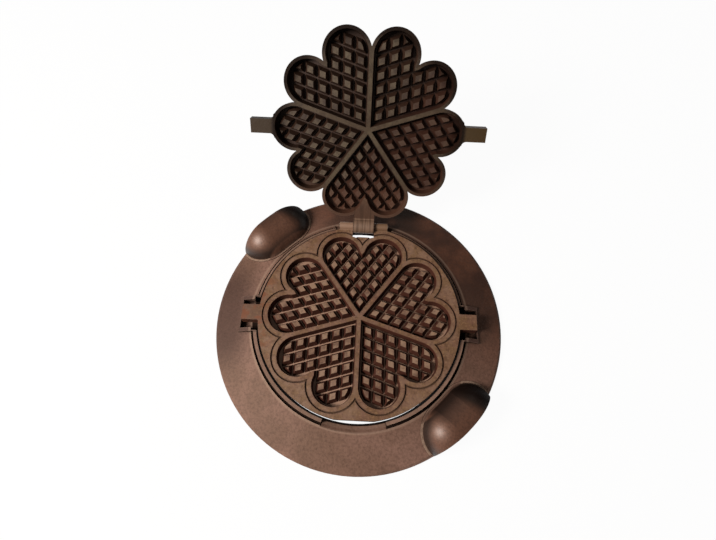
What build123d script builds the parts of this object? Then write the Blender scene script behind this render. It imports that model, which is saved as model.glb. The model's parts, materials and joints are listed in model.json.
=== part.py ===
from build123d import *
import os
from math import asin, atan, ceil, cos, degrees, hypot, radians, sin, sqrt, tan

os.makedirs("parts", exist_ok=True)

# A cast-iron stovetop waffle iron: a low stove ring carries a hinged pair of
# plates with five heart-shaped hollows. The lower plate hangs by two lugs in
# sockets of the ring, so that the closed pair can be turned over. The upper
# plate is a lobed lid, modelled closed and then swung back to where it rests.
#
# Millimetres. +Z is up, z = 0 is the top of the stove, the ring's centre is the
# origin, and the hinge is at the back, on +Y. The lugs point along X.

# ---------------------------------------------------------------- sizes
# Where the two plates meet, above the stove
parting_height = 21.0

# Lower plate
disc_radius = 90.8
front_flat = 89.3           # the disc is cut straight in front, this far from its centre
flange_thickness = 5.0
pan_inset = 4.3             # the pan under the flange starts this far inside its edge
pan_draft = 35.0            # degrees

# Hearts and pegs
heart_count = 5
heart_margin = 8.14         # from the hearts' round ends to the disc's edge
rib_width = 3.7             # rib between two hearts, at its top
cavity_depth = 7.5
cavity_draft = 9.0          # degrees
floor_thickness = 4.2
cleft_advance = 3.6         # a heart's cleft widens from this far past the lobes' centres
cleft_point = 3.0           # length of the cleft's sharp tip
peg_pitch = 11.0            # along each straight edge of a heart
peg_channel = 1.0           # flat channel between the feet of two pegs
peg_top_width = 4.8
peg_drop = 1.5              # peg tops lie this far inside the hollow
least_peg_share = 0.12      # a peg of which the round wall leaves less is left out
groove_offset = 4.6         # seat groove round the hearts, outside their walls
groove_width = 1.5
groove_depth = 1.2

# Lugs of the lower plate and tabs of the lid
lug_width = 14.2
lug_thickness = 10.0
lug_reach = 106.0
tab_width = 12.4
tab_thickness = 8.0
tab_reach = 104.0
flare = 4.0                 # fillet where a lug or tab leaves its plate
arm_overlap = 2.0           # a lug or tab starts this far inside its plate
tab_root = 8.0              # block that ties a tab to the lobe behind it

# Lid
lid_rim_width = 2.7
lid_draft = 6.0             # degrees
lid_back_chamfer = 1.5
seat_clearance = 0.3        # between the closed plates

# Hinge
hinge_offset = 1.2          # pin's centre line outside the disc's edge
barrel_width = 19.6
barrel_radius = 6.8
web_thickness = 8.4
knuckle_radius = 3.7
knuckle_length = 12.8
knuckle_foot_depth = 8.0    # block that ties each knuckle to the disc
hinge_side_clearance = 0.4
notch_margin = 5.0          # open notch in the disc, in front of the barrel
pin_radius = 2.0
pin_running_clearance = 0.05
pin_head_radius = 2.9
pin_head_height = 0.7
open_angle = 128.0          # how far the lid lies back from closed

# Stove ring
disc_gap = 2.1              # between the disc and the ring's bore
bore_foot_gap = 1.1         # the same at the bore's lower edge, round the turning disc
ring_radius = 132.2
rim_height = 4.5
rim_round = 2.0
crown_drop = 4.5            # ring's highest edge, below the parting plane
ring_wall = 4.2
bore_wall_thickness = 4.2
bore_wall_foot = 5.0        # lower edge of the bore's wall, above the stove
collar_drop = 3.0           # top of the front collar, below the parting plane
collar_thickness = 2.9
collar_groove_width = 2.4
collar_groove_depth = 1.6
back_rim_drop = 3.4         # top of the low rim at the back, below the parting plane
back_rim_thickness = 1.6
back_groove_width = 1.8
back_groove_depth = 1.1
hinge_gap_margin = 3.8      # room beside the hinge in the ring's two gaps
hinge_floor_clearance = 0.8
stop_clearance = 0.3        # left between the open lid's web and the ring

# Sockets for the lugs
turn_clearance = 1.1        # round the lug's corners while it turns
cheek_thickness = 3.4
cheek_rise = 1.3            # cheek's top above the ring's slope, at its outer end
mouth_length = 3.6          # the socket is wider for this length, next to the bore
mouth_margin = 2.6
cheek_outer_margin = 2.6    # cheek ends this far beyond the lug
trough_wall = 2.6
trough_end_wall = 3.2
lug_end_gap = 1.6

# Hand grips: loaf-shaped scoops, open to the outside
grip_angles = (134.8, 316.7)
grip_centre_inset = 9.4     # the scoop's middle, inside the ring's edge
grip_centre_height = 3.1
grip_radius = 26.2
grip_straight = 10.0        # each side of the middle, before the ends turn round
grip_wall = 4.0
grip_bead_width = 1.7
grip_bead_height = 0.8

# Helping shapes pass the surface that they cut by this much
overshoot = 1.0

# ---------------------------------------------------------------- derived
step = 360.0 / heart_count
half_step = step / 2

# Ten lobes side by side, a rib apart, whose round ends reach the same circle
lobe_spread = 1 / sin(radians(half_step / 2))
lobe_reach = disc_radius - heart_margin
lobe_radius = (lobe_reach - lobe_spread * rib_width / 2) / (1 + lobe_spread)
lobe_ring = lobe_reach - lobe_radius
chord = lobe_ring * cos(radians(half_step / 2))
lobe_side = lobe_ring * sin(radians(half_step / 2))
heart_angles = [90 + step * k for k in range(heart_count)]
lobe_angles = [half_step * k for k in range(2 * heart_count)]

wall_run = cavity_depth * tan(radians(cavity_draft))
row_pitch = peg_pitch * sin(radians(step))
peg_foot_width = row_pitch - peg_channel
peg_height = cavity_depth - peg_drop
peg_side_run = (peg_foot_width - peg_top_width) / 2
peg_side_draft = degrees(atan(peg_side_run / peg_height))
first_row = rib_width / 2 + wall_run + peg_channel + peg_foot_width / 2

plate_thickness = cavity_depth + floor_thickness
lid_outline_radius = lobe_radius + lid_rim_width
lid_reach = lobe_ring + lid_outline_radius
groove_radius = lobe_radius + groove_offset

hinge_y = disc_radius + hinge_offset
knuckle_inner = barrel_width / 2 + hinge_side_clearance
knuckle_outer = knuckle_inner + knuckle_length
notch_front = hinge_y - barrel_radius - notch_margin

bore_radius = disc_radius + disc_gap
sweep_radius = hypot(disc_radius, flange_thickness)
foot_depth = parting_height - bore_wall_foot
bore_foot_radius = sqrt(sweep_radius**2 - foot_depth**2) + bore_foot_gap
crown_height = parting_height - crown_drop
collar_top = parting_height - collar_drop
collar_outer = bore_radius + collar_thickness
slope = (crown_height - rim_height) / (ring_radius - bore_radius)
hinge_gap_half = knuckle_outer + hinge_gap_margin
hinge_gap_angle = degrees(asin(hinge_gap_half / bore_radius))

# Where the open lid's web meets the ring: its back is a plane at this distance
# from the hinge's axis, and the ring's edge there is an arc seen by a flat web.
web_back = web_thickness + seat_clearance + stop_clearance
lean_y = sin(radians(open_angle))
lean_z = -cos(radians(open_angle))
arc_sag = bore_radius - sqrt(bore_radius**2 - (barrel_width / 2) ** 2)
stop_reach = web_back + (arc_sag + hinge_y) * lean_y
stop_reach -= (crown_drop - bore_radius * slope) * lean_z
stop_radius = stop_reach / (lean_y + slope * lean_z)

socket_half_width = hypot(lug_width / 2, lug_thickness) + turn_clearance
socket_end = lug_reach + lug_end_gap
trough_half_width = socket_half_width + cheek_thickness
grip_centre_radius = ring_radius - grip_centre_inset


def ring_surface(radius):
    """Height of the ring's sloping top at a distance from its axis."""
    return crown_height - (radius - bore_radius) * slope


def polar(radius, angle):
    return (radius * cos(radians(angle)), radius * sin(radians(angle)))


# ---------------------------------------------------------------- helpers
def turned(points):
    """Solid of revolution about Z from (radius, height) points."""
    outline = Polyline(*[(r, 0, z) for r, z in points], close=True)
    return revolve(make_face(outline), axis=Axis.Z, revolution_arc=360)


def sector(start, end, inner, outer, low, high):
    """Upright wedge block between two angles and two radii."""
    reach = outer / cos(radians((end - start) / 2))
    corners = [(0, 0), polar(reach, start), polar(reach, end)]
    wedge = make_face(Polyline(*corners, close=True))
    block = Pos(0, 0, low) * extrude(wedge, amount=high - low)
    band = Cylinder(outer, high - low, align=(Align.CENTER, Align.CENTER, Align.MIN))
    band -= Cylinder(inner, high - low, align=(Align.CENTER, Align.CENTER, Align.MIN))
    return block & (Pos(0, 0, low) * band)


def lobed_face(radius):
    """Ten round lobes round a common centre, all of one radius."""
    face = Sketch() + Circle(chord)
    for angle in lobe_angles:
        face += Pos(*polar(lobe_ring, angle)) * Circle(radius)
    return face


def heart_face(inset):
    """One heart on the plane z = 0, its point at the centre, its axis on +X.

    Every wall of it is moved inward by inset.
    """
    from_middle = rib_width / 2 + inset
    apex = from_middle / sin(radians(half_step))
    sideways = polar(from_middle, half_step - 90)
    along = polar(chord, half_step)
    tangent = (along[0] + sideways[0], along[1] + sideways[1])

    nose = chord + cleft_advance
    cleft_half = lobe_side - sqrt(lobe_radius**2 - cleft_advance**2)
    tip_angle = atan(cleft_half / cleft_point)
    tip = nose - cleft_point - inset / sin(tip_angle)
    shoulder = (nose - tip) * tan(tip_angle)
    upper = [tangent, (chord, lobe_side), (nose, lobe_side), (nose, shoulder)]
    lower = [(u, -v) for u, v in reversed(upper)]
    outline = Polyline((apex, 0), *upper, (tip, 0), *lower, close=True)
    face = Sketch() + make_face(outline)
    for side in (1, -1):
        face += Pos(chord, side * lobe_side) * Circle(lobe_radius - inset)
    return face


def in_heart(u, v):
    """True where a point is inside a heart, seen from its axis."""
    return u < chord or hypot(u - chord, abs(v) - lobe_side) < lobe_radius


def rhombus(width, height):
    """Rhombus with sides along the heart's two straight edges."""
    k = (width / 2) / sin(radians(step))
    a = (k * cos(radians(half_step)), k * sin(radians(half_step)))
    corners = [(2 * a[0], 0), (0, 2 * a[1]), (-2 * a[0], 0), (0, -2 * a[1])]
    return Pos(0, 0, height) * make_face(Polyline(*corners, close=True))


def pegs():
    """Tapered pegs on the floor of one heart, trimmed a channel off its walls."""
    peg = loft([rhombus(peg_foot_width, -cavity_depth), rhombus(peg_top_width, -peg_drop)])
    top = heart_face(wall_run + peg_channel + peg_side_run)
    field = extrude(top, amount=peg_height, dir=(0, 0, -1), taper=-peg_side_draft)
    field = Pos(0, 0, -peg_drop) * field
    start = first_row / sin(radians(step))
    count = ceil(lobe_reach / peg_pitch)
    found = []
    for i in range(count):
        for j in range(count):
            s = start + i * peg_pitch
            t = start + j * peg_pitch
            u = (s + t) * cos(radians(half_step))
            v = (s - t) * sin(radians(half_step))
            if not in_heart(u, v):
                continue
            trimmed = (Pos(u, v, 0) * peg) & field
            if trimmed.volume > least_peg_share * peg.volume:
                found.append(trimmed)
    return found


def hollow():
    """What is taken out of a plate for one heart: its hollow less its pegs."""
    body = extrude(heart_face(0), amount=cavity_depth, dir=(0, 0, -1), taper=cavity_draft)
    return body - pegs()


def arm(width, thickness, start, end):
    """Flat arm along +X with a flare where it leaves its plate, top at z = 0."""
    bar = Pos(start, 0, 0) * Rectangle(end - start, width, align=(Align.MIN, Align.CENTER))
    root = Pos(start, 0, 0) * Rectangle(flare, width + 2 * flare, align=(Align.MIN, Align.CENTER))
    for side in (1, -1):
        root -= Pos(start + flare, side * (width / 2 + flare)) * Circle(flare)
    return extrude(bar + root, amount=thickness, dir=(0, 0, -1))


def rod(radius, length, y, z):
    """Round bar along X, centred on x = 0."""
    return Pos(0, y, z) * Rot(0, 90, 0) * Cylinder(radius, length)


# ---------------------------------------------------------------- lower plate
def make_lower_plate(heart_hollow):
    pan_top = disc_radius - pan_inset
    pan_foot = pan_top - (plate_thickness - flange_thickness) * tan(radians(pan_draft))
    plate = turned([
        (0, 0),
        (disc_radius, 0),
        (disc_radius, -flange_thickness),
        (pan_top, -flange_thickness),
        (pan_foot, -plate_thickness),
        (0, -plate_thickness),
    ])
    root = disc_radius * cos(asin((lug_width / 2 + flare) / disc_radius)) - arm_overlap
    lug = arm(lug_width, lug_thickness, root, lug_reach)
    plate += lug
    plate += Rot(0, 0, 180) * lug

    for side in (1, -1):
        middle = side * (knuckle_inner + knuckle_length / 2)
        plate += Pos(middle, 0, 0) * rod(knuckle_radius, knuckle_length, hinge_y, 0)
        foot = Box(
            knuckle_length,
            knuckle_foot_depth,
            flange_thickness,
            align=(Align.CENTER, Align.MAX, Align.MAX),
        )
        plate += Pos(middle, hinge_y, 0) * foot

    notch = Box(
        2 * knuckle_inner,
        2 * (hinge_y - notch_front),
        4 * plate_thickness,
        align=(Align.CENTER, Align.MIN, Align.CENTER),
    )
    plate -= Pos(0, notch_front, 0) * notch
    plate -= Pos(0, -front_flat, 0) * Box(
        2 * disc_radius,
        2 * disc_radius,
        4 * plate_thickness,
        align=(Align.CENTER, Align.MAX, Align.CENTER),
    )
    for angle in heart_angles:
        plate -= Rot(0, 0, angle) * heart_hollow

    groove = lobed_face(groove_radius + groove_width / 2)
    groove -= lobed_face(groove_radius - groove_width / 2)
    plate -= extrude(groove, amount=groove_depth, dir=(0, 0, -1))
    plate -= rod(pin_radius, 2 * (knuckle_outer + overshoot), hinge_y, 0)
    return Pos(0, 0, parting_height) * plate


# ---------------------------------------------------------------- lid
def make_upper_plate(heart_hollow):
    """The lid in its closed place over the lower plate, then swung open."""
    lid = extrude(lobed_face(lid_outline_radius), amount=plate_thickness, taper=lid_draft)
    lid = chamfer(lid.edges().group_by(Axis.Z)[-1], lid_back_chamfer)

    tab = Rot(180, 0, 0) * arm(tab_width, tab_thickness, lid_reach - arm_overlap, tab_reach)
    tab += Pos(lid_reach - tab_root, 0, 0) * Box(
        tab_root + flare,
        tab_width,
        tab_thickness,
        align=(Align.MIN, Align.CENTER, Align.MIN),
    )
    lid += tab
    lid += Rot(0, 0, 180) * tab

    web_start = chord
    lid += Pos(0, web_start, 0) * Box(
        barrel_width,
        hinge_y - web_start,
        web_thickness,
        align=(Align.CENTER, Align.MIN, Align.MIN),
    )
    for angle in heart_angles:
        lid -= Rot(0, 0, angle) * Rot(180, 0, 0) * heart_hollow
    lid = Pos(0, 0, seat_clearance) * lid
    lid += rod(barrel_radius, barrel_width, hinge_y, 0)
    bore_length = barrel_width + 2 * overshoot
    lid -= rod(pin_radius + pin_running_clearance, bore_length, hinge_y, 0)
    lid = Pos(0, 0, parting_height) * lid
    hinge = Axis((0, hinge_y, parting_height), (1, 0, 0))
    return lid.rotate(hinge, -open_angle)


# ---------------------------------------------------------------- hinge pin
def make_hinge_pin():
    """Plain rod with a low hammered head at each end."""
    pin = rod(pin_radius, 2 * knuckle_outer, hinge_y, parting_height)
    head = Cone(
        pin_head_radius,
        pin_radius,
        pin_head_height,
        align=(Align.CENTER, Align.CENTER, Align.MIN),
    )
    for side in (1, -1):
        turned_out = Rot(0, 90 * side, 0) * head
        pin += Pos(side * knuckle_outer, hinge_y, parting_height) * turned_out
    return pin


# ---------------------------------------------------------------- stove ring
def scoop(inset):
    """Upper half of a loaf: a round bar along Y with half balls as its ends."""
    radius = grip_radius - inset
    end = grip_straight + radius
    left = CenterArc((0, -grip_straight), radius, 270, 90)
    side = Line((radius, -grip_straight), (radius, grip_straight))
    right = CenterArc((0, grip_straight), radius, 0, 90)
    middle = Line((0, end), (0, -end))
    outline = make_face(left + side + right + middle)
    loaf = revolve(outline, axis=Axis.Y, revolution_arc=360)
    upper_half = Box(
        2 * (radius + overshoot),
        2 * (end + overshoot),
        radius + overshoot,
        align=(Align.CENTER, Align.CENTER, Align.MIN),
    )
    return loaf & upper_half


def rim(thickness, top):
    """Upright rim along the bore."""
    foot = bore_wall_foot + ring_wall
    return turned([
        (bore_radius, foot),
        (bore_radius, top),
        (bore_radius + thickness, top),
        (bore_radius + thickness, foot),
    ])


def moat(inner, width, depth):
    """What is cut for a groove that runs round outside a rim."""
    outer = inner + width
    return turned([
        (inner, ring_surface(inner) - depth),
        (inner, parting_height),
        (outer, parting_height),
        (outer, ring_surface(outer) - depth),
    ])


def make_base_ring():
    inner_top = ring_surface(bore_radius + bore_wall_thickness)
    toe = ring_radius - ring_wall
    round_start = ring_radius - rim_round
    bore_wall_outer = bore_radius + bore_wall_thickness
    ring = turned([
        (bore_foot_radius, bore_wall_foot),
        (bore_radius, crown_height),
        (round_start, ring_surface(round_start)),
        (ring_radius, ring_surface(ring_radius) - rim_round / 2),
        (ring_radius, 0),
        (toe, 0),
        (toe, ring_surface(toe) - ring_wall),
        (bore_wall_outer, inner_top - ring_wall),
        (bore_wall_outer, bore_wall_foot),
    ])

    # raised bead of the ring's surface round each grip
    bead_band = turned([
        (bore_radius, crown_height - ring_wall / 2),
        (bore_radius, crown_height + grip_bead_height),
        (round_start, ring_surface(round_start) + grip_bead_height),
        (round_start, ring_surface(round_start) - ring_wall / 2),
    ])
    grip_place = Pos(grip_centre_radius, 0, grip_centre_height)
    bead = bead_band & (grip_place * scoop(-grip_bead_width))
    edge = Cylinder(ring_radius, 4 * parting_height)
    grip = (grip_place * scoop(0)) & edge
    grips = Rot(0, 0, grip_angles[0]) * grip + Rot(0, 0, grip_angles[1]) * grip
    for angle in grip_angles:
        ring += Rot(0, 0, angle) * bead
    ring += grips

    # the bore's wall rises as a collar in front, as a low rim at the back
    lift = 2 * parting_height
    collar = rim(collar_thickness, collar_top)
    back_rim = rim(back_rim_thickness, parting_height - back_rim_drop)
    front_moat = moat(collar_outer, collar_groove_width, collar_groove_depth)
    back_moat = moat(bore_radius + back_rim_thickness, back_groove_width, back_groove_depth)
    widest = collar_outer + collar_groove_width + overshoot
    stretches = [(-180, -90 - hinge_gap_angle), (-90 + hinge_gap_angle, 0)]
    for start, end in stretches:
        front = sector(start, end, bore_radius - disc_gap, widest, 0, lift)
        back = Rot(0, 0, 180) * front
        ring -= (front_moat & front) - grips
        ring -= (back_moat & back) - grips
        ring += collar & front
        ring += back_rim & back

    # hollow under each grip, open to the outside over the ring's foot
    sill = turned([
        (toe, -overshoot),
        (toe, rim_height),
        (ring_radius + overshoot, rim_height),
        (ring_radius + overshoot, -overshoot),
    ])
    hand_space = grip_place * scoop(grip_wall)
    for angle in grip_angles:
        ring -= Rot(0, 0, angle) * (hand_space - sill)

    # lowered gaps that the hinge passes through, at the back and the front
    hinge_depth = max(barrel_radius, web_thickness + seat_clearance)
    gap_floor = parting_height - hinge_depth - hinge_floor_clearance
    gap_cut = turned([
        (bore_foot_radius, gap_floor),
        (bore_radius, gap_floor),
        (stop_radius, ring_surface(stop_radius)),
        (stop_radius, lift),
        (bore_foot_radius, lift),
    ])
    inner = bore_foot_radius - overshoot
    outer = stop_radius + overshoot
    for angle in (90, -90):
        start = angle - hinge_gap_angle
        end = angle + hinge_gap_angle
        ring -= gap_cut & sector(start, end, inner, outer, 0, lift)

    # sockets: a trough for each lug between two low cheeks
    cheek_end = lug_reach + cheek_outer_margin
    trough_end = socket_end + trough_end_wall
    slot_floor = parting_height - socket_half_width
    trough_floor = slot_floor - trough_wall
    outline = Polyline(
        (bore_radius, 0, trough_floor),
        (trough_end, 0, trough_floor),
        (trough_end, 0, ring_surface(trough_end)),
        (cheek_end, 0, ring_surface(cheek_end)),
        (cheek_end, 0, ring_surface(cheek_end) + cheek_rise),
        (collar_outer, 0, collar_top),
        (bore_radius, 0, collar_top),
        close=True,
    )
    trough = extrude(make_face(outline), amount=trough_half_width, dir=(0, 1, 0), both=True)
    slot = Pos(bore_radius - disc_gap, 0, slot_floor) * Box(
        socket_end - bore_radius + disc_gap,
        2 * socket_half_width,
        lift,
        align=(Align.MIN, Align.CENTER, Align.MIN),
    )
    mouth = Pos(bore_radius - disc_gap, 0, slot_floor) * Box(
        mouth_length + disc_gap,
        2 * (socket_half_width + mouth_margin),
        lift,
        align=(Align.MIN, Align.CENTER, Align.MIN),
    )
    bore_hole = Cylinder(bore_radius, lift, align=(Align.CENTER, Align.CENTER, Align.MIN))
    for angle in (0, 180):
        ring += Rot(0, 0, angle) * (trough - bore_hole)
        ring -= Rot(0, 0, angle) * (slot + mouth)
    return ring


# ---------------------------------------------------------------- write
heart_hollow = hollow()
pieces = {
    "base_ring": make_base_ring(),
    "lower_plate": make_lower_plate(heart_hollow),
    "upper_plate": make_upper_plate(heart_hollow),
    "hinge_pin": make_hinge_pin(),
}
for name, shape in pieces.items():
    solids = shape.solids()
    print(name, len(solids), "solid(s), volume", round(shape.volume / 1000, 1), "cm3")
    export_step(shape, "parts/" + name + ".step")
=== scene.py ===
# %% [markdown]
# # A cast-iron stovetop waffle iron
#
# The object is a set of castings: a wide ring that stands on the stove, a round
# lower plate that hangs in it by two lugs, and a lid shaped like a ten-lobed
# flower that is hinged to the plate and lies open. Both plates carry five
# hearts full of square pegs, which leave the square dents in the waffle.
#
# All four pieces are rigid metal, so their shapes come ready from the CAD model
# and nothing here moves them. What is left to make is what the eye reads as old
# cast iron: grain from the sand mould, a baked-on film of oil, painted shade and
# some soot in the corners, and wear and painted highlights on the tops and edges.
# This file builds those as node materials, then sets up a floor, the light and a
# camera.

import json
import math

import bpy
from mathutils import Euler, Matrix, Vector


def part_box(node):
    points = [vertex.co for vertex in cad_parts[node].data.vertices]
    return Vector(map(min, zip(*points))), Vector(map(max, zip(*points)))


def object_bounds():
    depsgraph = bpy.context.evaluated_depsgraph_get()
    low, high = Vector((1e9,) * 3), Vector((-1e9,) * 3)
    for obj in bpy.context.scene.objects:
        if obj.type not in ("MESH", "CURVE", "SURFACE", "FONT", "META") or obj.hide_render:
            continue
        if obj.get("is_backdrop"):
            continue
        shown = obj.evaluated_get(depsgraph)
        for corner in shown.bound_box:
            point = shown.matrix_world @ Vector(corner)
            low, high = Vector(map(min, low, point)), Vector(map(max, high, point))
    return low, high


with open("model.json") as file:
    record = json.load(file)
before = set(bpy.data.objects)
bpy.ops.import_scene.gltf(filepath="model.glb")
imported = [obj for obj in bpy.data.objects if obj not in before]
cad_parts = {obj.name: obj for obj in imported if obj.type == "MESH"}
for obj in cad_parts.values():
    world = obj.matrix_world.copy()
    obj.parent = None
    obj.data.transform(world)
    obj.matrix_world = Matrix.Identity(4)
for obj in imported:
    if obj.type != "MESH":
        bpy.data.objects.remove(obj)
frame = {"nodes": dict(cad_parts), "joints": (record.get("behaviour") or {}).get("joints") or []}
model_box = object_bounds()
castings = frame["nodes"]
mm = 0.001
for name, casting in castings.items():
    low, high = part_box(name)
    size = [round((b - a) / mm, 1) for a, b in zip(low, high)]
    print(name, "measures", size, "mm,", len(casting.data.polygons), "faces")

# %% [markdown]
# ## Where the castings turn
#
# The lower plate turns over about the line of its lugs, and the lid about the
# pin at the back. The model's joints give both lines. The lugs' line lies in
# the parting plane, where the two plates meet when the iron is shut, so it is
# also the height of the lower plate's rim. The radius of the plate's disc can't
# be read from its box, because the lugs reach further, so it is written here.

# %% The parting plane, the hinge and the disc
joints = {joint["name"]: joint for joint in frame["joints"]}
parting = joints["plate_turn"]["pos_m"][2]
hinge_point = Vector(joints["lid_hinge"]["pos_m"])
shut_angle = math.radians(joints["lid_hinge"]["range_deg"][1])
disc_radius = 90.8 * mm
print("parting plane", round(parting / mm, 1), "mm above the stove")
print("hinge", round((hinge_point.y - disc_radius) / mm, 1), "mm behind the disc's edge")

# %% [markdown]
# ## Arithmetic on node sockets
#
# A material is a small program. Written out node by node it is hard to read, so
# the class below lets Python's own signs stand for Math nodes: `1 - soot * 0.5`
# adds two of them. Colours and vectors need Mix and Vector Math nodes instead,
# because a Math node would turn a colour grey; they come from `Finish.node`.


# %% A wire that can be added and multiplied
class Wire:
    """One output socket of a node, with Python's signs for sums on its value."""

    def __init__(self, finish, socket):
        self.finish = finish
        self.socket = socket

    def maths(self, operation, first, second=0.0):
        sockets = {0: first, 1: second}
        return self.finish.node("ShaderNodeMath", {"operation": operation}, sockets)

    def __add__(self, other):
        return self.maths("ADD", self, other)

    def __sub__(self, other):
        return self.maths("SUBTRACT", self, other)

    def __rsub__(self, other):
        return self.maths("SUBTRACT", other, self)

    def __mul__(self, other):
        return self.maths("MULTIPLY", self, other)

    def __pow__(self, other):
        return self.maths("POWER", self, other)

    def __neg__(self):
        return 0 - self

    def __abs__(self):
        return self.maths("ABSOLUTE", self)

    __radd__ = __add__
    __rmul__ = __mul__


# %% [markdown]
# ## A material under construction
#
# Each casting gets one material with two shaders. The main one is the oiled
# skin. The second is a dead matt black for painted shade, with some soot in the
# nooks: it dulls the skin's shine as well as its colour, so it is laid over the
# skin by a Mix Shader node instead of being one more colour. What varies over the
# surface is wired up, and what is the same everywhere is set as a plain number on
# the shader.


# %% A finish made of nodes
# A dead matt black for the painted shade and the soot.
shade_and_soot_black = (0.0065, 0.0032, 0.0022, 1.0)


class Finish:
    """A new material, whose nodes are added one by one until it dresses a casting."""

    def __init__(self, name):
        self.material = bpy.data.materials.new(name)
        self.material.use_nodes = True
        self.tree = self.material.node_tree
        self.shader = self.tree.nodes["Principled BSDF"]
        self.place = self.node("ShaderNodeTexCoord", output="Object")
        self.facing = self.node("ShaderNodeTexCoord", output="Normal")

    def node(self, kind, settings=None, sockets=None, output=0):
        """Adds a node, sets it up, fills its sockets and returns one of its outputs."""
        made = self.tree.nodes.new(kind)
        for key, value in (settings or {}).items():
            setattr(made, key, value)
        for key, value in (sockets or {}).items():
            self.plug(made.inputs[key], value)
        return Wire(self, made.outputs[output])

    def plug(self, socket, value):
        """Links a wire to a socket, or sets the socket to a plain value."""
        if isinstance(value, Wire):
            self.tree.links.new(value.socket, socket)
        else:
            socket.default_value = value

    def show(self, share, first, second):
        """Sends two mixed shaders to the surface: all of the second where share is 1."""
        mix = self.node("ShaderNodeMixShader", {}, {0: share, 1: first, 2: second}, "Shader")
        self.plug(self.tree.nodes["Material Output"].inputs["Surface"], mix)

    def dress(self, casting, shade_and_soot, **sockets):
        """Sets the main shader's sockets by name, lays painted shade and soot over it, dresses a
        casting.
        """
        for key, value in sockets.items():
            self.plug(self.shader.inputs[key.replace("_", " ")], value)
        skin = Wire(self, self.shader.outputs["BSDF"])
        dead_matt = {"Base Color": shade_and_soot_black, "Roughness": 0.95, "Specular IOR Level": 0.04}
        black = self.node("ShaderNodeBsdfPrincipled", {}, dead_matt, "BSDF")
        self.show(shade_and_soot, skin, black)
        casting.data.materials.clear()
        casting.data.materials.append(self.material)
        self.tell("is worn by " + casting.name)

    def tell(self, words):
        """Prints how far the material has come."""
        print(self.material.name, words + ",", len(self.tree.nodes), "nodes so far")


# %% [markdown]
# ## Steps and bands
#
# Most masks in this file ask how far a point is past some line. Map Range with
# a smooth step answers with a soft edge, since paint and dirt have no hard ones.
# Two steps multiplied make a band, and the largest of some masks joins them.


# %% Steps, bands and the largest of some masks
def step(value, low, high):
    """Rises smoothly from 0 where value is low to 1 where it is high."""
    return value.finish.node(
        "ShaderNodeMapRange",
        {"interpolation_type": "SMOOTHSTEP"},
        {"Value": value, "From Min": low, "From Max": high},
    )


def band(value, rise, fall):
    """1 between two soft edges, each of them a pair of values, and 0 outside them."""
    return step(value, *rise) * (1 - step(value, *fall))


def most(first, *others):
    """The largest of some values."""
    for other in others:
        first = first.maths("MAXIMUM", first, other)
    return first


# %% [markdown]
# ## Noise and coats of paint
#
# Patterns are read at Object coordinates, in metres from the middle of the
# stove ring, so a noise of scale 1000 has patches about a millimetre wide. The
# colours are then laid one over the other like thin coats, and each coat has a
# mask that says how much of it shows at each point.


# %% Patches, tones and coats
def patches(finish, size, detail=2.0, roughness=0.5, place=None):
    """Cloudy noise from 0 to 1 whose patches are about size metres wide."""
    sockets = {
        "Vector": place or finish.place,
        "Scale": 1.0 / size,
        "Detail": detail,
        "Roughness": roughness,
    }
    return finish.node("ShaderNodeTexNoise", {}, sockets, "Fac")


def tone(red, green, blue):
    """A colour written as a screen's 0 to 255 values, made linear for the shader."""
    linear = [
        c / 12.92 if c <= 0.04045 else ((c + 0.055) / 1.055) ** 2.4
        for c in (red / 255, green / 255, blue / 255)
    ]
    return (*linear, 1.0)


def coats(finish, ground, *layers):
    """The ground's colour under some layers, each a pair of its share and its colour."""
    for share, colour in layers:
        sockets = {0: share, 6: ground, 7: colour}
        ground = finish.node("ShaderNodeMix", {"data_type": "RGBA"}, sockets, "Result")
    return ground


# %% [markdown]
# ## The skin of a sand casting
#
# Molten iron takes the print of the sand it is poured into: grain about a
# millimetre across, over slow swells of some millimetres. As geometry this would
# take millions of faces, so a Bump node turns both into shading.


# %% The sand's grain
def sand_grain(finish, depth):
    """Normals of a surface that swells and pits by about depth metres."""
    swell = patches(finish, 4.5 * mm)
    grain = patches(finish, 1.0 * mm, 3.0, 0.6)
    height = swell * 0.8 + grain * 0.7
    sockets = {"Strength": 1.0, "Distance": depth, "Height": height}
    return finish.node("ShaderNodeBump", {}, sockets, "Normal")


# %% [markdown]
# ## Where wear, highlights and shade belong
#
# Edges are painted lighter, partly as wear from hands and cloths and partly as
# painted highlight, and nooks are painted dark, as painted shade with some soot.
# Both places can be found from the shape alone. A Bevel node gives the normal
# that a slightly rounded edge would have, so where it differs from the real
# normal there is an edge. An Ambient Occlusion node tells how much of the space
# around a point is taken up by the casting itself. Plain geometry gives the
# distance from a casting's middle.


# %% Edges, nooks and distances
def part_of(finish, vector, axis):
    """One coordinate of a vector: 0 for x, 1 for y, 2 for z."""
    return finish.node("ShaderNodeSeparateXYZ", {}, {0: vector}, axis)


def from_middle(finish, place, middle_y=0.0):
    """Distance from the upright line through x = 0, y = middle_y."""
    across = part_of(finish, place, 0)
    along = part_of(finish, place, 1) - middle_y
    return (across * across + along * along) ** 0.5


def edge_nearness(finish, width):
    """0 on flats, rising to 1 on edges, within about width metres of them."""
    rounded = finish.node("ShaderNodeBevel", {"samples": 6}, {"Radius": width}, "Normal")
    flat = finish.node("ShaderNodeNewGeometry", output="Normal")
    dot = {"operation": "DOT_PRODUCT"}
    likeness = finish.node("ShaderNodeVectorMath", dot, {0: rounded, 1: flat}, "Value")
    return step(1 - likeness, 0.02, 0.25)


def nook_darkness(finish, reach):
    """1 deep in corners and pits, 0 in the open, looking about reach metres around."""
    settings = {"samples": 8, "only_local": True}
    openness = finish.node("ShaderNodeAmbientOcclusion", settings, {"Distance": reach}, "AO")
    return 1 - openness


# %% [markdown]
# ## The stove ring
#
# The ring never touches batter, so it has kept a brown-black skin. Its cover is
# a flat cone, and the paint below finds the ring's features by measure: how far
# a point lies from the middle, and how far it stands proud of that cone. The
# measures are worked out outwards from the plate that turns in the ring's bore.

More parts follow.
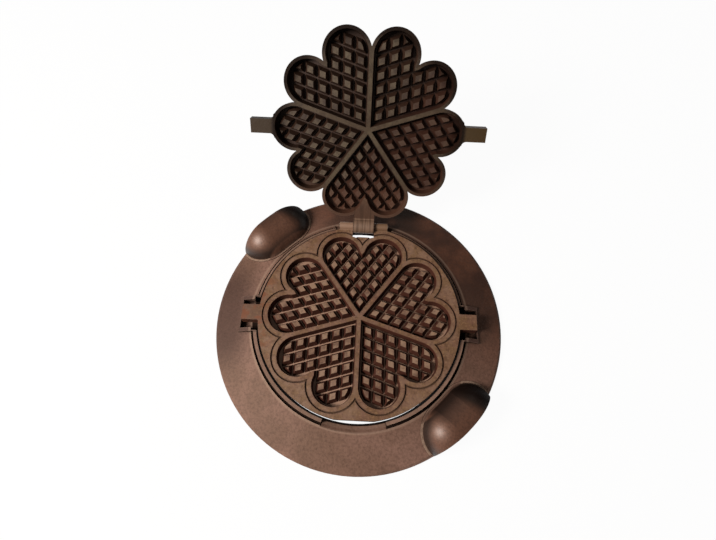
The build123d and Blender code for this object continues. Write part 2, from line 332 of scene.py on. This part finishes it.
# %% Measures of the ring that the paint follows
ring_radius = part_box("base_ring")[1][0]
rim_height = 4.5 * mm
ring_bore = disc_radius + 2.1 * mm
ring_crown = parting - 4.5 * mm
ring_slope = (ring_crown - rim_height) / (ring_radius - ring_bore)
collar_edge = ring_bore + 2.9 * mm
groove_edge = collar_edge + 2.4 * mm
hinge_gap = 26.8 * mm
cheek_half = 17.5 * mm
print("cover reaches", round(ring_radius / mm, 1), "mm from the middle and slopes by",
      round(math.degrees(math.atan(ring_slope)), 1), "degrees")

# %% Colours of the ring
ring_colours = {
    "dry": tone(132, 100, 87),
    "dark": tone(110, 82, 68),
    "back_shade": tone(94, 58, 42),
    "back_shade_dark": tone(58, 33, 24),
    "scoop": tone(98, 64, 48),
    "cheek": tone(72, 50, 44),
    "smoked": tone(66, 44, 38),
    "speckle": tone(52, 34, 27),
    "deep_shade": tone(20, 11, 8),
    "wear_and_highlight": tone(160, 134, 116),
}
print(len(ring_colours), "colours for the ring")

# %% Coordinates on the ring
ring = Finish("ring_iron")
ring_across = part_of(ring, ring.place, 0)
ring_along = part_of(ring, ring.place, 1)
ring_reach = from_middle(ring, ring.place)
cone = ring_crown - (ring_reach - ring_bore) * ring_slope
proud = part_of(ring, ring.place, 2) - cone
far_across = abs(ring_across)
far_along = abs(ring_along)
ring.tell("has its coordinates")

# %% [markdown]
# ## The ring's cover
#
# In front the cover is a dry brown. Behind and to the right it is painted redder
# and darker, as painted shade on the side turned from the lamp. On the left,
# beside the lug, smoke has darkened it. Each of the two grounds is mottled by
# slow clouds, and the same clouds fray the border.

# %% Skin of the cover
clouds = patches(ring, 45 * mm, 3.0, 0.55)
in_front = coats(ring, ring_colours["dark"], (step(clouds, 0.35, 0.7), ring_colours["dry"]))
# Painted shade: behind and to the right the cover is painted darker and redder, as turned from
# the lamp.
back_shaded = coats(ring, ring_colours["back_shade_dark"], (step(clouds, 0.4, 0.65), ring_colours["back_shade"]))
backward = ring_along * 0.8 + ring_across * 0.55 + clouds * (30 * mm)
at_left = step(-ring_across + clouds * (20 * mm), 98 * mm, 128 * mm)
beside_lug = 1 - step(far_along, 25 * mm, 65 * mm)
cover = coats(
    ring,
    in_front,
    (step(backward, 0, 120 * mm), back_shaded),
    (at_left * beside_lug * 0.85, ring_colours["smoked"]),
)
ring.tell("has its cover painted")

# %% [markdown]
# ## The hand scoops
#
# Two hollow bulges let fingers under the ring. They are handled the most, so
# their skin is smooth and shiny. Their sides that face the back and the right,
# away from the lamp, and a band low round their flanks are painted black, as
# painted shade, while the thin bead at their foot is painted bright, as a painted
# highlight. The scoops stand proud of the cone, which is how their masks tell
# them from the cover. The sockets' cheeks stand proud too, so the masks of flank
# and bead leave out a strip along the line of the lugs.

# %% Masks of the scoops
in_scoop = step(proud, 1.2 * mm, 5 * mm) * step(ring_reach, 99 * mm, 102 * mm)
# How far the surface faces the back and the right, away from the lamp, which the painted shade
# follows.
away = part_of(ring, ring.facing, 1) * 0.9 + part_of(ring, ring.facing, 0) * 0.35
off_cheeks = step(far_along, 30 * mm, 35 * mm)
near_scoop = step(ring_reach, 104 * mm, 106 * mm) * off_cheeks
# Painted shade in a band low round each scoop's flank, and a painted highlight on its bead.
flank_shade = band(proud, (0.8 * mm, 1.6 * mm), (6 * mm, 15 * mm)) * near_scoop
bead_highlight = band(proud, (0.2 * mm, 0.5 * mm), (0.9 * mm, 1.3 * mm)) * near_scoop
ring.tell("has masks for its scoops")

# %% Paint the scoops, and a painted shadow right of the hinge
# Painted shadow of the lid on the ring, to the right of the hinge.
right_of_hinge = band(ring_across, (26 * mm, 34 * mm), (46 * mm, 66 * mm))
hinge_shadow = right_of_hinge * step(ring_along, 84 * mm, 96 * mm)
scooped = coats(
    ring,
    cover,
    (in_scoop * 0.9, ring_colours["scoop"]),
    # Painted shade on the scoops' sides turned from the lamp and low round their flanks, and a
    # painted highlight on the bead.
    (step(away, -0.1, 0.32) * in_scoop * 0.92, ring_colours["deep_shade"]),
    (flank_shade * 0.9, ring_colours["deep_shade"]),
    (bead_highlight * 0.8, ring_colours["wear_and_highlight"]),
    (hinge_shadow * 0.8, ring_colours["deep_shade"]),
)
ring.tell("has its scoops painted")

# %% [markdown]
# ## Cheeks, speckle and bright edges
#
# The low cheeks beside each lug are darker than the cover. Fine dark speckle
# lies over everything, as pits hold dirt. Last come the lighter places: all edges
# and the top of the collar, partly wear and partly painted highlight, and the lip
# just outside the collar's groove, a painted highlight.

# %% Paint the cheeks, the wear and the painted highlights
on_cheek = 1 - step(far_along, cheek_half, cheek_half + 1 * mm)
cheeks = step(proud, 0.2 * mm, 0.8 * mm) * on_cheek
speckle = patches(ring, 2.2 * mm, 2.0, 0.6)
lip_inside = (groove_edge - 0.2 * mm, groove_edge)
lip_outside = (groove_edge + 1.2 * mm, groove_edge + 2.6 * mm)
# Painted highlight on the lip just outside the collar's groove.
lip_highlight = band(ring_reach, lip_inside, lip_outside)
on_collar = 1 - step(ring_reach, collar_edge, collar_edge + 0.4 * mm)
# Edges and the collar's top painted lighter, partly as wear and partly as painted highlight, and
# the lip as a painted highlight.
wear_and_highlight = edge_nearness(ring, 0.7 * mm) * 0.45 + lip_highlight * 0.35 + on_collar * 0.2
ring_colour = coats(
    ring,
    scooped,
    (cheeks * 0.85, ring_colours["cheek"]),
    (step(speckle, 0.35, 0.75) * 0.4, ring_colours["speckle"]),
    (wear_and_highlight, ring_colours["wear_and_highlight"]),
)
ring.tell("has its edges rubbed")

# %% [markdown]
# ## Painted shade on the ring
#
# Painted shade fills the groove outside the collar, the wall of the bore, so that
# the gap beside the plate stays dark, and every deep nook, and it dulls the sides
# of the scoops turned from the lamp. It isn't laid in the gap where the hinge
# passes, because there is no groove there. The scoops keep an oily shine: a thin
# Coat over a skin that is slightly metallic, with its highlights tinted warm, as
# light is when it comes back through brown oil.

# %% Lay the painted shade and dress the ring
beside_gap = step(far_across, hinge_gap, hinge_gap + 0.6 * mm)
in_groove = beside_gap * (1 - step(ring_reach, groove_edge, groove_edge + 0.4 * mm))
# Painted shade: the groove, the bore's wall, deep nooks and the scoops' sides turned from the
# lamp.
groove_shade = step(-proud, 0.3 * mm, 1.1 * mm) * in_groove * 0.95
bore_wall_shade = 1 - step(ring_reach, ring_bore - 0.1 * mm, ring_bore + 0.2 * mm)
ring_nook_shade = step(nook_darkness(ring, 14 * mm), 0.2, 0.62)
scoop_back_shade = step(away, 0.1, 0.5) * in_scoop * 0.9
ring.dress(
    castings["base_ring"],
    shade_and_soot=most(groove_shade, bore_wall_shade, ring_nook_shade, scoop_back_shade),
    Base_Color=ring_colour,
    Metallic=in_scoop * 0.2,
    Roughness=0.58 + clouds * 0.14 - in_scoop * 0.15,
    Specular_IOR_Level=0.35,
    Specular_Tint=(1.0, 0.86, 0.74, 1.0),
    Coat_Weight=in_scoop * 0.5,
    Coat_Roughness=0.38,
    Normal=sand_grain(ring, 0.3 * mm),
)

# %% [markdown]
# ## The flats of a baking side
#
# Here the use shows. The rim and the ribs between the hearts are wiped after
# each waffle and have worn to a tan, with brown stains and an olive tarnish in
# cloudy patches, and a darker line is painted along every edge, as painted shade.
# The pegs' tops wear too, but each wears a little differently, so a coarse noise
# with patches as wide as a peg picks between two tones.


# %% Colours of the flats and the pegs' tops
def wiped_flats(finish, place, middle_y, colours):
    """Colour of the rim and the ribs of a plate whose middle is at y = middle_y."""
    reach = from_middle(finish, place, middle_y)
    stains = patches(finish, 30 * mm, 3.0, 0.6, place)
    tarnish = patches(finish, 11 * mm, 3.0, 0.65, place)
    return coats(
        finish,
        colours["wiped"],
        (step(reach, 56 * mm, 76 * mm), colours["rim"]),
        (step(stains, 0.42, 0.68) * 0.6, colours["stain_and_side_shade"]),
        (step(tarnish, 0.42, 0.62) * 0.55, colours["tarnish"]),
        # Painted shade: a darker line along every edge.
        (edge_nearness(finish, 1.9 * mm) * 0.6, colours["edge_shade"]),
    )


def peg_tops(finish, place, colours):
    """Colour of the pegs' tops, which differs from one peg to the next."""
    each_peg = patches(finish, 12 * mm, 1.0, 0.5, place)
    dull = step(each_peg, 0.35, 0.7)
    return coats(finish, colours["peg_top"], (dull, colours["peg_dull"]))


# %% [markdown]
# ## Inside the hearts
#
# The pegs are wiped on their tops alone. Their steep sides are painted darker,
# as painted shade, and the floors of the narrow channels between them take a
# colour of their own, on the lower plate a bright one, as painted light from
# above. Level grooves just below the rim get painted shade too. So the paint
# follows two things, how far a point lies below the rim and how level the
# surface is there. One function does this for both plates, each with its own set
# of colours.


# %% How a baking side wears
peg_drop = 1.5 * mm
cavity_depth = 7.5 * mm


def baking_side(finish, place, facing, rim_z, middle_y, colours):
    """Colour, painted shade and a mask of the hearts' floors, for a plate that bakes upwards.

    place and facing are the point and the normal with the plate's rim level at
    the height rim_z, and the plate's middle is at y = middle_y.
    """
    below = rim_z - part_of(finish, place, 2)
    level = step(part_of(finish, facing, 2), 0.55, 0.85)
    on_peg = step(below, peg_drop * 0.8, peg_drop * 0.95)
    on_floor = step(below, cavity_depth * 0.8, cavity_depth * 0.95)
    sunk = step(below, 0.2 * mm, 1.1 * mm)
    in_heart = 1 - step(below, cavity_depth + 0.5 * mm, cavity_depth + 1.0 * mm)

    mottle = patches(finish, 2.8 * mm, 3.0, 0.65, place)
    scuffs = patches(finish, 1.9 * mm, 2.0, 0.6, place)
    levels = coats(
        finish,
        wiped_flats(finish, place, middle_y, colours),
        (on_peg, peg_tops(finish, place, colours)),
        (step(mottle, 0.48, 0.7) * 0.5, colours["fleck"]),
        (step(scuffs, 0.5, 0.72) * 0.4, colours["streak"]),
        # The channel floors take their own colour: on the lower plate a bright one, as painted
        # light from above.
        (on_floor, colours["channel"]),
    )
    # Painted shade: steep sides are painted darker than the flats, darkest inside the hearts.
    sides = coats(finish, colours["stain_and_side_shade"], (sunk * in_heart, colours["deep_shade_side"]))
    # Black painted shade on the steep sides in the hearts and in level grooves just below the
    # rim.
    on_sides = (1 - level) * sunk * in_heart * 0.4
    in_grooves = level * sunk * (1 - on_peg) * 0.6
    return coats(finish, sides, (level, levels)), on_sides + in_grooves, on_floor


# %% [markdown]
# ## The lower plate
#
# It is the lighter of the two, because it is wiped each time it is used. It
# stands level already, so the baking side's paint can use its coordinates as
# they are.

# %% Colours of the lower plate
plate_colours = {
    "wiped": tone(118, 88, 72),
    "rim": tone(126, 97, 78),
    "stain_and_side_shade": tone(98, 60, 42),
    "fleck": tone(64, 36, 24),
    "streak": tone(156, 120, 84),
    "tarnish": tone(104, 76, 44),
    "edge_shade": tone(76, 44, 32),
    "peg_top": tone(140, 112, 92),
    "peg_dull": tone(96, 68, 54),
    "channel": tone(150, 118, 98),
    "deep_shade_side": tone(86, 48, 36),
}
lug_smoke = tone(84, 56, 46)
rust = tone(118, 66, 38)
left_knuckle = tone(142, 112, 92)
right_knuckle = tone(116, 88, 66)
plate_edge = tone(150, 122, 104)
print(len(plate_colours), "colours for the plate's baking side")

# %% Paint its baking side
plate = Finish("lower_iron")
plate_colour, plate_painted_shade, hearts_floor = baking_side(
    plate, plate.place, plate.facing, parting, 0.0, plate_colours
)
plate_across = part_of(plate, plate.place, 0)
plate_along = part_of(plate, plate.place, 1)
plate_reach = from_middle(plate, plate.place)
plate.tell("has its baking side painted")

# %% [markdown]
# ## Smoke, rust and the knuckles
#
# Smoke has darkened the left lug, and rust has started beside it, on the
# plate's left edge. The two hinge knuckles are a light tan, the left one painted
# lighter than the right. The turned edge of the disc is painted black, as
# painted shade in the gap between the disc and the ring, and painted shade also
# lies in the plate's nooks.

# %% Paint the left edge and the knuckles
on_lug = step(-plate_across, 84 * mm, 95 * mm)
at_left_edge = step(-plate_across, 72 * mm, 90 * mm)
rust_spots = step(patches(plate, 6 * mm, 3.0, 0.6), 0.46, 0.62) * at_left_edge
on_knuckle = step(plate_along, hinge_point.y - 5.5 * mm, hinge_point.y - 3.5 * mm)
right_half = step(plate_across, -2 * mm, 2 * mm)
knuckle_tan = coats(plate, left_knuckle, (right_half, right_knuckle))
plate_colour = coats(
    plate,
    plate_colour,
    (on_lug * 0.5, lug_smoke),
    (rust_spots * 0.7, rust),
    (on_knuckle * 0.9, knuckle_tan),
    # Edges painted lighter: partly wear, partly painted highlight.
    (edge_nearness(plate, 0.5 * mm) * 0.45, plate_edge),
)
plate.tell("has its left edge and knuckles painted")

# %% Lay the painted shade and dress the plate
# Painted shade in the plate's nooks, kept off the channel floors, and black painted shade on the
# side of the disc, so that the gap between disc and ring stays dark.
plate_nook_shade = step(nook_darkness(plate, 5 * mm), 0.4, 0.95) * (1 - hearts_floor) * 0.45
below_rim = step(parting - part_of(plate, plate.place, 2), 0.6 * mm, 2 * mm)
inner_edge = (disc_radius - 4.8 * mm, disc_radius - 2.3 * mm)
outer_edge = (disc_radius + 0.4 * mm, disc_radius + 1.7 * mm)
disc_side_shade = below_rim * band(plate_reach, inner_edge, outer_edge)
greasy = patches(plate, 9 * mm)
plate.dress(
    castings["lower_plate"],
    shade_and_soot=most(plate_painted_shade, plate_nook_shade, disc_side_shade),
    Base_Color=plate_colour,
    Roughness=0.42 + greasy * 0.2,
    Specular_IOR_Level=0.45,
    Normal=sand_grain(plate, 0.14 * mm),
)

# %% [markdown]
# ## The lid
#
# The lid is the same casting job, darker because it is wiped less. Its baking
# side looks down when the iron is shut, and here it lies swung back. A Mapping
# node swings the pattern's coordinates about the hinge by the same angle, so
# the paint can again be written for a plate that lies level, with its middle as
# far behind the hinge as the lower plate's is in front of it.

# %% Coordinates of the lid as if it lay upside down on the table
lid_gap = 0.3 * mm
lid_rim = parting - lid_gap
lid_middle = 2 * hinge_point.y
over_angle = shut_angle + math.pi
turn_over = Euler((over_angle, 0.0, 0.0))
shift = hinge_point - turn_over.to_matrix() @ hinge_point

lid = Finish("lid_iron")
swing = {"Vector": lid.place, "Location": shift, "Rotation": turn_over}
lid_place = lid.node("ShaderNodeMapping", {}, swing)
lid_facing = lid.node("ShaderNodeMapping", {}, {"Vector": lid.facing, "Rotation": turn_over})
print("lid pattern turned by", round(math.degrees(over_angle), 1), "degrees about the hinge")

# %% Colours of the lid
lid_colours = {
    "wiped": tone(80, 67, 50),
    "rim": tone(34, 24, 17),
    "stain_and_side_shade": tone(56, 37, 26),
    "fleck": tone(34, 21, 14),
    "streak": tone(84, 70, 52),
    "tarnish": tone(60, 44, 28),
    "edge_shade": tone(52, 38, 28),
    "peg_top": tone(86, 73, 58),
    "peg_dull": tone(60, 46, 37),
    "channel": tone(52, 34, 25),
    "deep_shade_side": tone(60, 40, 29),
}
left_tab = tone(50, 35, 17)
right_tab = tone(64, 47, 23)
red_fat = tone(66, 37, 27)
warm_lobe = tone(98, 66, 50)
barrel_tan = tone(128, 102, 84)
file_mark = tone(58, 38, 24)
lid_edge = tone(110, 90, 74)
print(len(lid_colours), "colours for the lid's baking side")

# %% Paint its baking side
lid_colour, lid_painted_shade, _ = baking_side(
    lid, lid_place, lid_facing, lid_rim, lid_middle, lid_colours
)
lid_across = part_of(lid, lid_place, 0)
from_hinge = part_of(lid, lid_place, 1) - hinge_point.y
lid.tell("has its baking side painted")

# %% [markdown]
# ## Fat, tabs and the hinge's barrel
#
# Fat has dried red-brown in the hearts on the right and next to the hinge, down
# to which it ran. The two lobes nearest the hinge have a warmer tone than the
# others. The tabs at the sides have gone olive, and the barrel, which turns
# between the knuckles, is rubbed to their tan.

# %% Masks of the lid
lid_sunk = step(lid_rim - part_of(lid, lid_place, 2), 0.4 * mm, 1.2 * mm)
fat_clouds = patches(lid, 30 * mm, 3.0, 0.6, lid_place)
to_the_right = lid_across - from_hinge * 0.8 + fat_clouds * (40 * mm)
red_side = step(to_the_right, -56 * mm, -16 * mm) * lid_sunk
tab = step(abs(lid_across), 83 * mm, 87 * mm)
low_lobes = 1 - step(from_hinge, 24 * mm, 50 * mm)
on_barrel = 1 - step(from_hinge, 7 * mm, 9 * mm)
tab_olive = coats(lid, left_tab, (step(lid_across, -10 * mm, 10 * mm), right_tab))
lid.tell("has masks for fat and tabs")

# %% [markdown]
# ## File marks on the web
#
# The web that ties the lid to its barrel was dressed with a file, whose marks
# run from the lid to the pin. They are a noise whose coordinates are squeezed
# to a twenty-fifth in two directions, so that its patches become long streaks
# in those and stay narrow across the web.

# %% File the web and finish the lid's colour
squeeze = {"Vector": lid.place, "Scale": (1.0, 0.04, 0.04)}
along_web = lid.node("ShaderNodeMapping", {}, squeeze)
file_marks = step(patches(lid, 1.6 * mm, 2.0, 0.6, along_web), 0.45, 0.6)
web_end = 1 - step(from_hinge, 20 * mm, 24 * mm)
web_side = 1 - step(abs(lid_across), 9.6 * mm, 10.2 * mm)
lid_colour = coats(
    lid,
    lid_colour,
    (tab, tab_olive),
    (red_side * 0.6, red_fat),
    (low_lobes * 0.5, warm_lobe),
    (on_barrel * 0.85, barrel_tan),
    (file_marks * web_end * web_side * 0.55, file_mark),
    # Edges painted lighter: partly wear, partly painted highlight.
    (edge_nearness(lid, 0.5 * mm) * 0.3, lid_edge),
)
lid.tell("has its web filed")

# %% [markdown]
# ## Painted shade on the lid
#
# Painted shade lies in the nooks, as on the plate, and the lobes far from the
# hinge are painted black along their rims, as painted shade. Where fat has dried
# red, the painted shade is thinner.

# %% Lay the painted shade and dress the lid
# Painted shade in the nooks, and black painted shade along the far lobes' rims.
lid_nook_shade = step(nook_darkness(lid, 5 * mm), 0.4, 0.95) * 0.45
lid_reach = from_middle(lid, lid_place, lid_middle)
far_lobes = step(lid_reach, 69 * mm, 80 * mm) * step(from_hinge, 45 * mm, 75 * mm)
far_rim_shade = far_lobes * (1 - tab) * 0.75
lid_film = patches(lid, 12 * mm)
lid.dress(
    castings["upper_plate"],
    shade_and_soot=most(most(lid_painted_shade, lid_nook_shade) * (1 - red_side * 0.4), far_rim_shade),
    Base_Color=lid_colour,
    Roughness=0.42 + lid_film * 0.2,
    Specular_IOR_Level=0.4,
    Normal=sand_grain(lid, 0.14 * mm),
)

# %% [markdown]
# ## The hinge pin
#
# A plain steel rod, hammered over at both ends. Steel is a bare metal, so the
# shader's Metallic is high, with a dark, slightly rusty colour.

# %% Paint the pin
bare_steel = tone(150, 132, 116)
pin_rust = tone(96, 58, 38)
pin = Finish("pin_steel")
rust_bloom = patches(pin, 1.6 * mm, 3.0)
pin.dress(
    castings["hinge_pin"],
    # Painted shade in the pin's nooks.
    shade_and_soot=step(nook_darkness(pin, 2 * mm), 0.4, 0.95),
    Base_Color=coats(pin, bare_steel, (step(rust_bloom, 0.45, 0.7), pin_rust)),
    Metallic=0.8,
    Roughness=0.34 + rust_bloom * 0.3,
    Normal=sand_grain(pin, 0.06 * mm),
)

# %% [markdown]
# ## The floor
#
# The portrait has a white ground. The floor is a pale matt sheet that glows only
# for the camera and for what mirrors or refracts it, so it reads as white
# without more light falling on the iron. A Light Path node tells such rays from
# the others. A small share stays matt, so that a trace of the shadow shows.

# %% Lay the floor
floor_size = 6.0
corner = floor_size / 2
floor_mesh = bpy.data.meshes.new("floor")
floor_mesh.from_pydata(
    [(-corner, -corner, 0), (corner, -corner, 0), (corner, corner, 0), (-corner, corner, 0)],
    [],
    [(0, 1, 2, 3)],
)
floor = bpy.data.objects.new("floor", floor_mesh)
bpy.context.scene.collection.objects.link(floor)
floor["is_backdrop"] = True
print("floor", floor_size, "m square")

# %% Give the floor its white
glow_share = 0.96
ground = Finish("white_ground")
camera_ray, glossy_ray, glass_ray = (
    ground.node("ShaderNodeLightPath", output=name)
    for name in ("Is Camera Ray", "Is Glossy Ray", "Is Transmission Ray")
)
seen = step(camera_ray + glossy_ray + glass_ray, 0, 1)
matt = ground.node("ShaderNodeBsdfDiffuse", {}, {"Color": (0.8, 0.8, 0.8, 1.0)}, "BSDF")
glow = ground.node("ShaderNodeEmission", {}, {"Color": (1.0, 1.0, 1.0, 1.0)}, "Emission")
ground.show(seen * glow_share, matt, glow)
floor.data.materials.append(ground.material)
print("floor glows by", glow_share, "for the camera")

# %% [markdown]
# ## Light
#
# One broad soft lamp stands to the left, as a window would, and draws the
# bright spots on the two hand scoops. A weak lamp behind on the right keeps the
# far sides from going quite black. Both are slightly warm, and the world adds a
# dim even fill.


# %% Hang the lamps
lamp_aim = Vector((0, 0.02, 0.02))
lamplight = (1.0, 0.94, 0.88)


def soft_lamp(name, place, size, watts):
    """A square lamp of the given size in metres at place, turned to face the iron."""
    data = bpy.data.lights.new(name, "AREA")
    data.shape = "SQUARE"
    data.size = size
    data.energy = watts
    data.color = lamplight
    lamp = bpy.data.objects.new(name, data)
    sightline = lamp_aim - Vector(place)
    lamp.location = place
    lamp.rotation_euler = sightline.to_track_quat("-Z", "Y").to_euler()
    bpy.context.scene.collection.objects.link(lamp)
    print(name, "lamp of", watts, "W,", round(sightline.length, 2), "m away")


soft_lamp("window", (-0.9, -0.35, 0.85), 0.4, 22.0)
soft_lamp("far_side", (0.5, 1.0, 0.6), 0.3, 0.8)

# %% Dim light from all around
world = bpy.data.worlds.new("dim_room")
world.use_nodes = True
room = world.node_tree.nodes["Background"]
room.inputs["Color"].default_value = (1.0, 0.95, 0.91, 1.0)
room.inputs["Strength"].default_value = 0.14
bpy.context.scene.world = world
print("room light", round(room.inputs["Strength"].default_value, 2))

# %% [markdown]
# ## Camera
#
# The picture was taken from above and in front, quite close, with a short lens.
# The place and the turn below were solved from the ring's circle, the round
# ends of the hearts and the rows of pegs. A camera looks along its own -Z with
# +X to the right of the picture, so its turn is written as those three axes.

# %% Set the camera
picture_width = 716
focal_in_pixels = 466.3
camera_data = bpy.data.cameras.new("camera")
camera_data.sensor_fit = "HORIZONTAL"
camera_data.sensor_width = 36.0
camera_data.lens = focal_in_pixels / picture_width * camera_data.sensor_width
camera_data.clip_start = 0.01
camera_data.clip_end = 50.0
camera = bpy.data.objects.new("camera", camera_data)
print("lens", round(camera_data.lens, 2), "mm on a 36 mm sensor")

# %% Place and turn it
camera_place = (0.00164, -0.12363, 0.42455)
sight = Vector((-0.01112, 0.38686, -0.92207)).normalized()
roll = math.radians(1.246)
level_right = sight.cross(Vector((0, 0, 1))).normalized()
level_up = level_right.cross(sight)
picture_right = level_right * math.cos(roll) + level_up * math.sin(roll)
picture_up = level_up * math.cos(roll) - level_right * math.sin(roll)
turn = Matrix((picture_right, picture_up, -sight)).transposed()
camera.matrix_world = Matrix.Translation(camera_place) @ turn.to_4x4()
bpy.context.scene.collection.objects.link(camera)
bpy.context.scene.camera = camera
bpy.context.scene.view_settings.view_transform = "Standard"
print("camera looks down at", round(math.degrees(math.asin(-sight.z)), 1), "degrees")

# %% [markdown]
# ## Check the size
#
# The dressed object must be as large as the model it came from, so the largest
# difference between their boxes is printed.

# %% Compare the sizes and finish
dressed_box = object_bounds()
sizes = {
    "model": [list(corner) for corner in model_box],
    "dressed": [list(corner) for corner in dressed_box],
}
print("largest difference", round(max(
    abs(a - b) for m, d in zip(*sizes.values()) for a, b in zip(m, d)) * 1000, 3), "mm")
